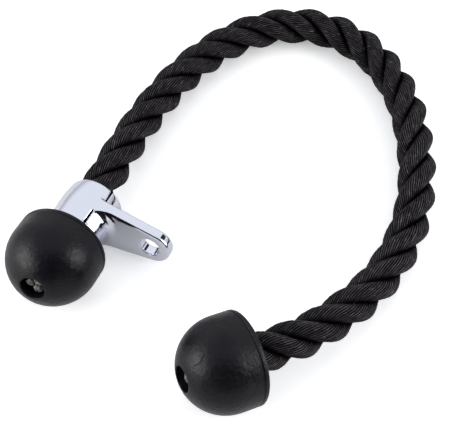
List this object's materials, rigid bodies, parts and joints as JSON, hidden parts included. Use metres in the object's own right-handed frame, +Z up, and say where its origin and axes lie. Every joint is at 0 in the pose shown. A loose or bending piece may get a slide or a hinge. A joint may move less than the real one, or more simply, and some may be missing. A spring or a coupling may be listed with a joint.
{
  "type": "triceps rope attachment",
  "caption": "Thick laid rope with a rubber stopper on each end and a chromed clasp that turns round it, whose lug has an eye for a cable machine's snap hook.",
  "frame": {"origin": "on the floor, under the centre of the box round the two stoppers and the clasp; the rope is left out of that box", "axes": "+Z up; the rope lies in an open loop towards +Y, with the stopper beside the clasp on the -X side and the other one on the +X side"},
  "size_m": [0.2826, 0.3352, 0.0621],
  "materials": {
    "rope": "black laid rope of fine multifilament yarn, slightly shiny",
    "clasp": "bright chrome plate over forged steel",
    "stopper": "satin moulded rubber",
    "ferrule": "zinc plated steel",
    "washer": "zinc plated steel"
  },
  "bodies": {
    "rope_and_end_fittings": {"rope": "rope", "ferrule_left": "ferrule", "ferrule_right": "ferrule", "washer_left": "washer", "washer_right": "washer"},
    "clasp": {"clasp": "clasp"},
    "stopper_left": {"stopper_left": "stopper"},
    "stopper_right": {"stopper_right": "stopper"}
  },
  "joints": [
    {"name": "clasp_swivel", "type": "hinge", "parent": "rope_and_end_fittings", "child": "clasp", "pos_m": [-0.0355, 0.0598, 0.022], "axis": [-0.3934, -0.909, 0.1374], "continuous": true},
    {"name": "stopper_left_turn", "type": "hinge", "parent": "rope_and_end_fittings", "child": "stopper_left", "pos_m": [-0.0517, 0.0209, 0.03207], "axis": [-0.3397, -0.9085, 0.2436], "continuous": true},
    {"name": "stopper_right_turn", "type": "hinge", "parent": "rope_and_end_fittings", "child": "stopper_right", "pos_m": [0.0561, -0.0523, 0.03173], "axis": [-0.8835, -0.4309, 0.184], "continuous": true}
  ]
}
